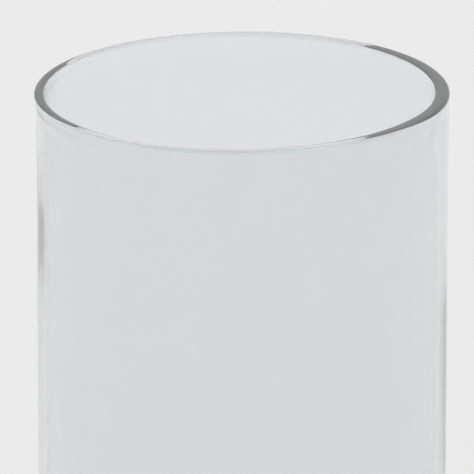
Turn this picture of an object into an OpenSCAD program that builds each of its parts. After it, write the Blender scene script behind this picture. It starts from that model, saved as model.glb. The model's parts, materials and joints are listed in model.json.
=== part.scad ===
// Clear glass cylinder vase: a length of glass tube fused to a thick glass base.
// Millimetres, +Z up along the vase's axis, origin at the centre of the foot ring's plane.
// Every piece is turned about the Z axis from a half section drawn in the X-Y plane,
// where X is the distance from the axis and Y is the height.

/* [Cylinder] */
// Outside diameter of the vase
outer_d = 150; // [100:1:200]
// Overall height of the vase
height = 300; // [200:5:400]
// Thickness of the glass wall
wall = 4; // [3:0.5:6]

/* [Rim] */
// Rounding of the rim's outside edge
outer_arris = 0.9; // [0.3:0.1:1.2]
// Rounding of the rim's inside edge
inner_arris = 0.6; // [0.3:0.1:1.2]

/* [Base] */
// Height of the inside floor above the table
floor_z = 12; // [9:0.5:18]
// Radius of the cove between the inside floor and the wall
cove_r = 7.5; // [5:0.5:10]
// Radius of the rounded heel outside
heel_r = 3.5; // [2:0.5:5]
// Width of the flat ring that the vase stands on
foot_w = 5.5; // [4:0.5:10]
// Depth of the domed hollow under the base
push_up = 1.5; // [0.5:0.25:3]

/* [Seam] */
// Height of the step that locates the tube on the base
step_h = 1.5; // [1:0.25:3]

/* [Hidden] */
$fn = 180;
outer_r = outer_d / 2;
inner_r = outer_r - wall;
// The step stands halfway through the wall
step_r = outer_r - wall / 2;
// The seam runs in two levels: its outside ledge, and the top of the base's inside lip
lip_z = floor_z + cove_r;
ledge_z = lip_z - step_h;
// The domed hollow is part of a large circle that meets the foot ring's inside edge
push_up_r = outer_r - heel_r - foot_w;
dome_r = (push_up_r * push_up_r + push_up * push_up) / (2 * push_up);
dome_fn = 1440;
// Cuts run this far past the face that they open
past = 1;

// What is cut away to round a convex corner: its point is at (x, y), and sx and sy, each
// 1 or -1, say towards which side the material lies along X and Y
module corner_cut(x, y, r, sx, sy) {
    difference() {
        translate([min(x - sx * past, x + sx * r), min(y - sy * past, y + sy * r)])
            square(r + past);
        translate([x + sx * r, y + sy * r])
            circle(r = r);
    }
}

// Half section of the tube: a tall strip with its two rim edges rounded and a rebate for
// the base's lip
module wall_section() {
    difference() {
        translate([inner_r, ledge_z])
            square([wall, height - ledge_z]);
        translate([inner_r - past, ledge_z - past])
            square([step_r - inner_r + past, step_h + past]);
        corner_cut(outer_r, height, outer_arris, -1, -1);
        corner_cut(inner_r, height, inner_arris, 1, -1);
    }
}

// Half section of the base: a thick disc with an upturned edge, whose outside half stops
// at the ledge
module base_section() {
    difference() {
        union() {
            square([outer_r, ledge_z]);
            square([step_r, lip_z]);
        }
        translate([-past, floor_z])
            square([inner_r - cove_r + past, cove_r + past]);
        translate([inner_r - cove_r, lip_z])
            circle(r = cove_r);
        corner_cut(outer_r, 0, heel_r, -1, 1);
        translate([0, push_up - dome_r])
            circle(r = dome_r, $fn = dome_fn);
    }
}

module cylinder_wall() {
    color([0.80, 0.86, 0.85, 0.40])
        rotate_extrude()
            wall_section();
}

module glass_base() {
    color([0.70, 0.80, 0.78, 0.55])
        rotate_extrude()
            base_section();
}

cylinder_wall();
glass_base();
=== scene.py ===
"""Glass cylinder vase: the looks of its two glass pieces, and a plain pale studio."""

import json
import math

import bpy
import numpy as np
from mathutils import Matrix, Vector


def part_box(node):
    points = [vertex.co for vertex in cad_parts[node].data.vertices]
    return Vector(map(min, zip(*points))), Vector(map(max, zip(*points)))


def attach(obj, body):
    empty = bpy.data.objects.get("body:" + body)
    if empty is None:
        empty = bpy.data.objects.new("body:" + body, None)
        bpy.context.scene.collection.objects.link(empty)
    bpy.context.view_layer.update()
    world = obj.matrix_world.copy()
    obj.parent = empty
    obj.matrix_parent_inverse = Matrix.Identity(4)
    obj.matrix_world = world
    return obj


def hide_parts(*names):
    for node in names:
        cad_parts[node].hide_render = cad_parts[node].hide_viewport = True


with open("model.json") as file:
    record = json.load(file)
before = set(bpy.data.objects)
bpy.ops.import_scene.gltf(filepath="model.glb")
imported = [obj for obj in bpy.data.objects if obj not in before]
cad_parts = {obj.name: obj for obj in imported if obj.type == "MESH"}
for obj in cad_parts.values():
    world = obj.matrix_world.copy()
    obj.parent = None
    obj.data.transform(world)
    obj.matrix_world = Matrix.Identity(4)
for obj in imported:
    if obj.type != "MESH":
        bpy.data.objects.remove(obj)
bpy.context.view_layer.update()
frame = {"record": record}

bl_info = {
    "name": "Glass Cylinder Vase",
    "version": (1, 0, 0),
    "blender": (4, 5, 0),
    "location": "View3D > Sidebar > Vase",
    "description": "Builds a clear glass cylinder vase and a pale studio around its CAD frame",
    "category": "Add Mesh",
}

MM = 0.001
BODY = "root"
WALL_LOW, WALL_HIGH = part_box("cylinder_wall")
BASE_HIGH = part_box("glass_base")[1]
MOUTH = next(m for m in frame["record"]["mounts"] if m["name"] == "mouth")


def from_hex(text):
    """Linear RGBA of an sRGB colour written as #rrggbb."""
    part = [int(text[i:i + 2], 16) / 255 for i in (1, 3, 5)]
    linear = [c / 12.92 if c <= 0.04045 else ((c + 0.055) / 1.055) ** 2.4 for c in part]
    return (*linear, 1.0)


# ---------------------------------------------------------------- settings


def length(name, text, default):
    """A length setting, in metres."""
    return bpy.props.FloatProperty(name=name, description=text, default=default,
                                   unit="LENGTH", precision=5)


def colour(name, text, hex_value):
    """A colour setting, given as an sRGB hex value and kept as a linear colour."""
    return bpy.props.FloatVectorProperty(name=name, description=text, subtype="COLOR", size=4,
                                         min=0, max=1, default=from_hex(hex_value))


class VaseSizes(bpy.types.PropertyGroup):
    """Sizes of the two glass pieces. Those that the CAD frame has are taken from it."""

    outer_radius: length("Outside radius", "Radius of the outside of the wall", WALL_HIGH.x)
    mouth_radius: length("Mouth radius", "Radius of the inside of the wall",
                         MOUTH["dims"]["r_mm"] * MM)
    height: length("Height", "Height of the rim above the table", WALL_HIGH.z)
    ledge_height: length("Ledge height", "Height of the seam's outside ledge", WALL_LOW.z)
    lip_height: length("Lip height", "Height of the seam's inside lip", BASE_HIGH.z)
    floor_height: length("Floor height", "Height of the inside floor", 12 * MM)
    heel_radius: length("Heel radius", "Rounding of the outside bottom edge", 3.5 * MM)
    foot_width: length("Foot width", "Width of the flat ring that the vase stands on", 5.5 * MM)
    push_up: length("Push-up", "Depth of the domed hollow under the base", 1.5 * MM)
    outer_arris: length("Outer arris", "Rounding of the rim's outside edge", 0.9 * MM)
    inner_arris: length("Inner arris", "Rounding of the rim's inside edge", 0.6 * MM)
    fusion: length("Fusion", "How far the two pieces melt into each other", 0.05 * MM)
    rim_tilt: length("Rim tilt", "How much lower the rim is on the left than on the right", 0.95 * MM)
    crown: length("Crown", "How much lower the rim's edges are than its middle", 0.3 * MM)
    lip_depth: length("Lip depth", "Height of the thickened lip under the rim", 7 * MM)
    lip_out: length("Lip outside", "How far the lip stands out from the wall", 0.6 * MM)
    lip_in: length("Lip inside", "How far the lip stands in from the wall", 0.6 * MM)
    lip_shift: length("Lip shift", "How far the lip's outside leans to the left", 0.3 * MM)
    waist_depth: length("Waist depth", "How far under the rim the thin neck is", 7.5 * MM)
    waist_out: length("Waist outside", "Depth of the thin neck outside", 0.2 * MM)
    waist_in: length("Waist inside", "Depth of the thin neck inside", 0.3 * MM)
    flare: length("Flare", "How much wider the outside is at the top", 0.25 * MM)
    bore_shift: length("Bore shift", "How far the inside leans to the left at the rim", 1.3 * MM)
    bore_spread: length("Bore spread", "How much wider the inside is than the mouth", 0.6 * MM)
    thickening: length("Thickening", "How much thicker the wall is halfway down", 0.4 * MM)
    cord: length("Cords", "Depth of the glass's long upright ripples", 0.01 * MM)


class StudioSettings(bpy.types.PropertyGroup):
    """Where the camera stands and how the studio is lit."""

    distance: length("Camera distance", "From the camera to the middle of the rim", 3.6)
    focal_length: bpy.props.FloatProperty(name="Focal length", default=751, min=50,
                                          description="Lens, in millimetres on a 36 mm sensor")
    rim_elevation: bpy.props.FloatProperty(name="Elevation", default=math.radians(17.0),
                                           description="How far the camera looks down on the rim",
                                           subtype="ANGLE")
    pitch_past_rim: bpy.props.FloatProperty(name="Pitch past the rim", default=math.radians(0.8574),
                                            description="How far below the rim the lens points",
                                            subtype="ANGLE")
    side_step: length("Side step", "How far the camera stands left of the vase's axis", 2.0 * MM)
    roll: bpy.props.FloatProperty(name="Roll", default=math.radians(0.12), subtype="ANGLE",
                                  description="Turn of the camera about its line of sight")
    floor_colour: colour("Floor", "Matt pale paper", "#eeeeee")
    room_low: bpy.props.FloatProperty(name="Room at the horizon", default=0.823, min=0,
                                      description="Brightness of the room round the horizon")
    room_high: bpy.props.FloatProperty(name="Room overhead", default=0.83, min=0,
                                       description="Brightness of the room overhead")
    softbox_light: bpy.props.FloatProperty(name="Softbox", default=2.2, min=0,
                                           description="Brightness of the softbox")
    softbox_angle: bpy.props.FloatProperty(name="Softbox size", default=math.radians(16),
                                           description="Half the angle that the softbox fills",
                                           subtype="ANGLE")
    softbox_way: bpy.props.FloatVectorProperty(name="Softbox direction", default=(0.35, -0.1, 1),
                                               description="Which way the softbox lies",
                                               subtype="DIRECTION")


# ---------------------------------------------------------------- mesh


# Columns of points round each piece
AROUND = 432
# Where round the vase its two ends, its shoulders and its back lie, each as the cosine (or for
# the back the sine) of the angle at which that stretch fades in and the one at which it is full
SHOULDERS = (0.15, 0.5)
ENDS = (0.8, 0.97)
BACK = (0.5, 0.95)
# The lip loses this share at the right end, and the waist is this many times as deep behind
LIP_LOST = 0.6
BACK_WAIST = 2
# How far under the rim each unevenness of the wall has run out, and the share that the bore's
# lean loses on the way
CROWN_DEPTH = 8 * MM
FLARE_DEPTH = 45 * MM
LEAN_DEPTH = 80 * MM
LEAN_LOST = 0.7
THICK_DEPTH = 145 * MM
# How far above the seam, which is true, the bore has its full unevenness
TRUE_HEIGHT = 40 * MM


def smoothstep(low, high, x):
    """0 at low and beyond, 1 at high and beyond, and a smooth cubic between them."""
    t = np.clip((x - low) / (high - low), 0, 1)
    return t * t * (3 - 2 * t)


def arc(centre, radius, start, end, count):
    """Points on a circle in the half section: centre + radius (cos a, sin a), a in degrees."""
    a = np.radians(np.linspace(start, end, count))
    return np.stack([centre[0] + radius * np.cos(a), centre[1] + radius * np.sin(a)], 1)


def line(start, end, count):
    """Points on a straight stretch of the half section, closer together towards its ends, so
    that a corner's smooth shading stays within a fraction of a millimetre of it."""
    t = (1 - np.cos(np.linspace(0, math.pi, count)))[:, None] / 2
    return np.array(start) * (1 - t) + np.array(end) * t


def mesh_object(name, points, faces, materials):
    """A smooth-shaded mesh object in the frame, at the origin."""
    mesh = bpy.data.meshes.new(name)
    mesh.from_pydata(points.tolist(), [], faces)
    mesh.shade_smooth()
    for material in materials:
        mesh.materials.append(material)
    mesh.update()
    obj = bpy.data.objects.new(name, mesh)
    bpy.context.scene.collection.objects.link(obj)
    return obj


def ring_quads(rows, columns, closed):
    """Quads of a grid that closes round its columns, and round its rows too if asked."""
    r = np.arange(rows if closed else rows - 1)[:, None]
    c = np.arange(columns)[None, :]
    r2, c2 = (r + 1) % rows, (c + 1) % columns
    corners = [r * columns + c, r2 * columns + c, r2 * columns + c2, r * columns + c2]
    return np.stack(corners, -1).reshape(-1, 4)


def wall_section(s):
    """The tube's half section, as points (distance from the axis, height): straight lines and
    quarter circles up the outside, over the rim, down the bore and along the stepped seam."""
    R, r, H = s.outer_radius, s.mouth_radius, s.height
    a, b, f = s.outer_arris, s.inner_arris, s.fusion
    step = (R + r) / 2 - f
    ledge, lip = s.ledge_height - f, s.lip_height - f
    return np.concatenate([
        line((R, ledge), (R, H - a), 90),
        arc((R - a, H - a), a, 0, 90, 9)[1:],
        line((R - a, H), (r + b, H), 13)[1:],
        arc((r + b, H - b), b, 90, 180, 9)[1:],
        line((r, H - b), (r, lip), 90)[1:],
        line((r, lip), (step, lip), 5)[1:],
        line((step, lip), (step, ledge), 5)[1:],
        line((step, ledge), (R, ledge), 5)[1:-1],
    ])


def build_wall(s):
    """The tube, and how much of each point is ground glass. Each point of the half section, at
    radius p and depth d under the rim, is carried round a circle to p (cos a, sin a), and p is
    changed by sums of smooth steps in d and in the angle a: outside, plus the lip and the flare
    and less the waist; inside, less the lip and the thickening and plus the waist, the spread
    and the ripples, which are three sines of whole multiples of a. The lip's outside and the
    bore also move along -X. The rim drops in proportion to 1 - cos a, and its edges drop with
    the square of their distance from its middle."""
    R, r, H = s.outer_radius, s.mouth_radius, s.height
    middle = (R + r) / 2
    section = wall_section(s)
    turn = np.linspace(0, 2 * math.pi, AROUND, endpoint=False)[None, :]
    across, behind = np.cos(turn), np.sin(turn)
    radius, z = section[:, :1] + 0 * turn, section[:, 1:] + 0 * turn
    depth = H - z
    inside = smoothstep(R - s.outer_arris, r + s.inner_arris, radius)
    clear = smoothstep(s.lip_height, s.lip_height + TRUE_HEIGHT, z)
    lip = (1 - smoothstep(0, s.lip_depth, depth)) * (1 - LIP_LOST * smoothstep(*ENDS, across))
    shoulder = smoothstep(*SHOULDERS, abs(across)) * (1 - smoothstep(*ENDS, abs(across)))
    waist = np.maximum(shoulder, BACK_WAIST * smoothstep(*BACK, behind))
    waist = waist * smoothstep(0, s.waist_depth, depth)
    waist = waist * (1 - smoothstep(s.waist_depth, 3 * s.waist_depth, depth))
    out = s.lip_out * lip - s.waist_out * waist + s.flare * (1 - smoothstep(0, FLARE_DEPTH, depth))
    ripple = (np.sin(5 * turn + 1.3 + z * 9) + np.sin(13 * turn + 4 + z * 6)
              + 0.6 * np.sin(31 * turn + 2 * behind - z * 12))
    inn = (s.bore_spread - s.lip_in * lip + s.waist_in * waist + s.cord * ripple
           - s.thickening * smoothstep(0, THICK_DEPTH, depth - 0.5 * s.lip_depth)) * clear
    lean = s.bore_shift * clear * (1 - LEAN_LOST * smoothstep(0, LEAN_DEPTH, depth))
    radius = radius + out * (1 - inside) + inn * inside
    x = radius * across - s.lip_shift * lip * (1 - inside) - lean * inside
    dome = ((section[:, :1] - middle) / (R - middle)) ** 2 * smoothstep(H - CROWN_DEPTH, H, z)
    drop = s.rim_tilt * (1 - across) / 2 * smoothstep(s.lip_height, H, z) + s.crown * dome
    points = np.stack([x, radius * behind, z - drop], -1).reshape(-1, 3)
    ground = smoothstep(H - s.outer_arris, H, z).ravel()
    return points, ring_quads(len(section), AROUND, closed=True)[:, ::-1], ground


def build_base(s):
    """The base: its half section, straight lines and arcs of circles, is turned round the axis
    to p (cos a, sin a), and closed with a pole above and below."""
    R, r = s.outer_radius, s.mouth_radius
    step = (R + r) / 2
    cove = s.lip_height - s.floor_height
    h = s.heel_radius
    dome_edge = R - h - s.foot_width
    dome_radius = (dome_edge ** 2 + s.push_up ** 2) / (2 * s.push_up)
    dome_angle = math.degrees(math.asin(dome_edge / dome_radius))
    section = np.concatenate([
        line((0, s.floor_height), (r - cove, s.floor_height), 16)[1:],
        arc((r - cove, s.lip_height), cove, 270, 360, 24)[1:],
        line((r, s.lip_height), (step, s.lip_height), 5)[1:],
        line((step, s.lip_height), (step, s.ledge_height), 5)[1:],
        line((step, s.ledge_height), (R, s.ledge_height), 5)[1:],
        line((R, s.ledge_height), (R, h), 14)[1:],
        arc((R - h, h), h, 0, -90, 16)[1:],
        line((R - h, 0), (dome_edge, 0), 4)[1:],
        arc((0, s.push_up - dome_radius), dome_radius, 90 - dome_angle, 90, 24)[1:-1],
    ])
    turn = np.linspace(0, 2 * math.pi, AROUND, endpoint=False)
    radius, z = section[:, :1], section[:, 1:] + 0 * turn
    ring = np.stack([radius * np.cos(turn), radius * np.sin(turn), z], -1).reshape(-1, 3)
    poles = np.array([[0, 0, s.floor_height], [0, 0, s.push_up]])
    quads = ring_quads(len(section), AROUND, closed=False)
    c = np.arange(AROUND)
    c2 = (c + 1) % AROUND
    last = (len(section) - 1) * AROUND
    top = np.stack([c, c2, np.full(AROUND, len(ring))], 1)
    under = np.stack([last + c2, last + c, np.full(AROUND, len(ring) + 1)], 1)
    return np.concatenate([ring, poles]), quads.tolist() + top.tolist() + under.tolist()


# ---------------------------------------------------------------- materials


# Refractive index of soda-lime glass, and how strongly its green takes up light, per metre
GLASS_IOR = 1.52
GREEN_DENSITY = 5.0


def add_node(tree, kind, inputs=None, links=None, **settings):
    """A node of that kind, with its settings, input values and links (input: output socket)."""
    node = tree.nodes.new(kind)
    for name, value in settings.items():
        setattr(node, name, value)
    for key, value in (inputs or {}).items():
        node.inputs[key].default_value = value
    for key, socket in (links or {}).items():
        tree.links.new(socket, node.inputs[key])
    return node


def new_material(name):
    """An empty node material, its node tree and the socket for Object coordinates."""
    material = bpy.data.materials.new(name)
    material.use_nodes = True
    tree = material.node_tree
    tree.nodes.clear()
    return material, tree, add_node(tree, "ShaderNodeTexCoord").outputs["Object"]


def noise_bump(tree, place, stretch, size, height):
    """A bump of that height, from noise whose grains are of that size, stretched along Z."""
    grain = add_node(tree, "ShaderNodeMapping", {"Scale": (1, 1, 1 / stretch)}, {"Vector": place})
    noise = add_node(tree, "ShaderNodeTexNoise", {"Scale": 1 / size, "Detail": 2.0},
                     {"Vector": grain.outputs[0]})
    return add_node(tree, "ShaderNodeBump", {"Strength": 1.0, "Distance": height},
                    {"Height": noise.outputs["Fac"]}).outputs[0]


def glass_output(tree, shader):
    """Send the surface to the output, with soda-lime glass's faint green inside. Light on its
    way to the paper goes straight on, less the tenth or so that each face of clear glass turns
    back over all slants, so that the paper under the vase is lit through it."""
    through = add_node(tree, "ShaderNodeBsdfTransparent", {"Color": from_hex("#f4f5f6")})
    ray = add_node(tree, "ShaderNodeLightPath").outputs
    for kind in ("Is Diffuse Ray", "Is Shadow Ray"):
        shader = add_node(tree, "ShaderNodeMixShader",
                          links={0: ray[kind], 1: shader.outputs[0], 2: through.outputs[0]})
    volume = add_node(tree, "ShaderNodeVolumeAbsorption",
                      {"Color": from_hex("#b0dcd8"), "Density": GREEN_DENSITY})
    add_node(tree, "ShaderNodeOutputMaterial",
             links={"Surface": shader.outputs[0], "Volume": volume.outputs[0]})


def drawn_glass():
    """Clear soda-lime tube, drawn from the melt and left with its own fire finish, as smooth as
    liquid. The draw leaves upright lines about 7 mm apart, a hundredth of a millimetre deep,
    which show only as faint soft bands. The rim was ground, then polished. It has an even haze
    in a cool grey that scatters an eighth of the light. That is more than such a rim really
    has: it stands in for light that is turned back many times inside the rim and gets lost."""
    material, tree, place = new_material("fire_finished_drawn_glass")
    ground = add_node(tree, "ShaderNodeAttribute", attribute_name="ground").outputs["Fac"]
    tint = add_node(tree, "ShaderNodeMix", {6: from_hex("#f4f4f6"), 7: from_hex("#dce0e1")},
                    {0: ground}, data_type="RGBA")
    clear = add_node(tree, "ShaderNodeMapRange", {"To Min": 1.0, "To Max": 0.87}, {"Value": ground})
    draw_lines = noise_bump(tree, place, stretch=30, size=7 * MM, height=0.01 * MM)
    shader = add_node(tree, "ShaderNodeBsdfPrincipled", {"Roughness": 0.0, "IOR": GLASS_IOR},
                      {"Base Color": tint.outputs[2], "Transmission Weight": clear.outputs[0],
                       "Normal": draw_lines})
    glass_output(tree, shader)
    return material


def pressed_glass():
    """Clear soda-lime glass, pressed in an iron mould and fire-polished: the mould's chill
    leaves a shallow orange-peel of 9 mm waves, which makes the thick base's reflections wander.
    The ring that it stands on was ground flat and left satin, so it looks pale and blurred."""
    material, tree, place = new_material("fire_polished_pressed_glass")
    up = add_node(tree, "ShaderNodeSeparateXYZ", links={0: place}).outputs["Z"]
    satin = add_node(tree, "ShaderNodeMapRange", {"From Min": 0.05 * MM, "From Max": 0.25 * MM,
                     "To Min": 0.4, "To Max": 0.0}, {"Value": up})
    orange_peel = noise_bump(tree, place, stretch=1, size=9 * MM, height=0.02 * MM)
    shader = add_node(tree, "ShaderNodeBsdfPrincipled",
                      {"Base Color": from_hex("#fdfdfd"), "IOR": GLASS_IOR,
                       "Transmission Weight": 1.0},
                      {"Roughness": satin.outputs[0], "Normal": orange_peel})
    glass_output(tree, shader)
    return material


def matt_paper(settings):
    """Uncoated background paper: matt, with a tooth of 0.8 mm that darkens it by up to one
    percent, too little to see from where the camera stands."""
    material, tree, place = new_material("uncoated_background_paper")
    tooth = add_node(tree, "ShaderNodeTexNoise", {"Scale": 1 / (0.8 * MM), "Detail": 2.0},
                     {"Vector": place})
    pale = settings.floor_colour
    dark = [0.99 * c for c in pale[:3]] + [1.0]
    mixed = add_node(tree, "ShaderNodeMix", {6: dark, 7: pale}, {0: tooth.outputs["Fac"]},
                     data_type="RGBA")
    shader = add_node(tree, "ShaderNodeBsdfDiffuse", {"Roughness": 0.3}, {"Color": mixed.outputs[2]})
    add_node(tree, "ShaderNodeOutputMaterial", links={"Surface": shader.outputs[0]})
    return material


# The floor is a disc so wide, in metres, that its edge is lost at the horizon
FLOOR_RADIUS = 60
FLOOR_SIDES = 128
# Width of the camera's sensor in millimetres, and the farthest that it sees, in metres
SENSOR_WIDTH = 36
SIGHT = 200
# Sine of the height at which the room has its overhead brightness, and half the width, as a
# cosine, over which the softbox's edge fades
OVERHEAD = 0.9
SOFTBOX_FADE = 0.02


def studio_light(scene, settings):
    """A pale room that is as bright as the floor at the horizon, and one large softbox high
    up on the right. Both are far away, so the floor is lit evenly."""
    world = bpy.data.worlds.new("studio")
    scene.world = world
    world.use_nodes = True
    tree = world.node_tree
    tree.nodes.clear()
    way = add_node(tree, "ShaderNodeTexCoord").outputs["Generated"]
    up = add_node(tree, "ShaderNodeSeparateXYZ", links={0: way}).outputs["Z"]
    room = add_node(tree, "ShaderNodeMapRange", {"From Min": 0.0, "From Max": OVERHEAD,
                    "To Min": settings.room_low, "To Max": settings.room_high}, {"Value": up})
    centre = Vector(settings.softbox_way).normalized()
    near = add_node(tree, "ShaderNodeVectorMath", {1: centre}, {0: way}, operation="DOT_PRODUCT")
    edge = math.cos(settings.softbox_angle)
    box = add_node(tree, "ShaderNodeMapRange",
                   {"From Min": edge - SOFTBOX_FADE, "From Max": edge + SOFTBOX_FADE,
                    "To Min": 0.0, "To Max": settings.softbox_light},
                   {"Value": near.outputs["Value"]}, interpolation_type="SMOOTHSTEP")
    light = add_node(tree, "ShaderNodeMath", links={0: room.outputs[0], 1: box.outputs[0]},
                     operation="ADD")
    back = add_node(tree, "ShaderNodeBackground", links={"Strength": light.outputs[0]})
    back.inputs["Color"].default_value = (1, 1, 1, 1)
    add_node(tree, "ShaderNodeOutputWorld", links={"Surface": back.outputs[0]})


# ---------------------------------------------------------------- operators


class VASE_OT_wall(bpy.types.Operator):
    """Build the length of glass tube that is the vase's wall"""

    bl_idname = "vase.wall"
    bl_label = "Cylinder wall"

    def execute(self, context):
        sizes = context.scene.vase_sizes
        points, faces, ground = build_wall(sizes)
        obj = mesh_object("vase_wall", points, faces.tolist(), [drawn_glass()])
        mark = obj.data.attributes.new("ground", "FLOAT", "POINT")
        mark.data.foreach_set("value", ground.astype(np.float32))
        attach(obj, BODY)
        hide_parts("cylinder_wall")
        return {"FINISHED"}


class VASE_OT_base(bpy.types.Operator):
    """Build the thick glass base"""

    bl_idname = "vase.base"
    bl_label = "Glass base"

    def execute(self, context):
        points, faces = build_base(context.scene.vase_sizes)
        obj = mesh_object("vase_base", points, faces, [pressed_glass()])
        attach(obj, BODY)
        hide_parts("glass_base")
        return {"FINISHED"}


class VASE_OT_studio(bpy.types.Operator):
    """Set up the floor, the light and the camera"""

    bl_idname = "vase.studio"
    bl_label = "Studio"

    def execute(self, context):
        s = context.scene.vase_studio
        height = context.scene.vase_sizes.height
        turn = np.linspace(0, 2 * math.pi, FLOOR_SIDES, endpoint=False)
        points = np.stack([FLOOR_RADIUS * np.cos(turn), FLOOR_RADIUS * np.sin(turn), 0 * turn], 1)
        floor = mesh_object("studio_floor", points, [list(range(FLOOR_SIDES))], [matt_paper(s)])
        e = s.rim_elevation
        camera_data = bpy.data.cameras.new("camera")
        camera_data.lens = s.focal_length
        camera_data.sensor_width = SENSOR_WIDTH
        camera_data.clip_end = SIGHT
        camera = bpy.data.objects.new("camera", camera_data)
        context.scene.collection.objects.link(camera)
        place = Vector((-s.side_step, -s.distance * math.cos(e), height + s.distance * math.sin(e)))
        down = e + s.pitch_past_rim
        camera.matrix_world = (Matrix.Translation(place)
                               @ Matrix.Rotation(math.pi / 2 - down, 4, "X")
                               @ Matrix.Rotation(s.roll, 4, "Z"))
        context.scene.camera = camera
        studio_light(context.scene, s)
        context.scene.view_settings.view_transform = "Standard"
        return {"FINISHED"}


class VASE_PT_panel(bpy.types.Panel):
    """Lists the vase's builders in the 3D view's sidebar"""

    bl_label = "Glass Cylinder Vase"
    bl_idname = "VASE_PT_panel"
    bl_space_type = "VIEW_3D"
    bl_region_type = "UI"
    bl_category = "Vase"

    def draw(self, context):
        for operator in OPERATORS:
            self.layout.operator(operator.bl_idname)


OPERATORS = (VASE_OT_wall, VASE_OT_base, VASE_OT_studio)
CLASSES = (VaseSizes, StudioSettings, *OPERATORS, VASE_PT_panel)


def register():
    for cls in CLASSES:
        bpy.utils.register_class(cls)
    bpy.types.Scene.vase_sizes = bpy.props.PointerProperty(type=VaseSizes)
    bpy.types.Scene.vase_studio = bpy.props.PointerProperty(type=StudioSettings)


def unregister():
    del bpy.types.Scene.vase_studio
    del bpy.types.Scene.vase_sizes
    for cls in reversed(CLASSES):
        bpy.utils.unregister_class(cls)


def main():
    register()
    bpy.ops.vase.wall()
    bpy.ops.vase.base()
    bpy.ops.vase.studio()


if __name__ == "__main__":
    main()
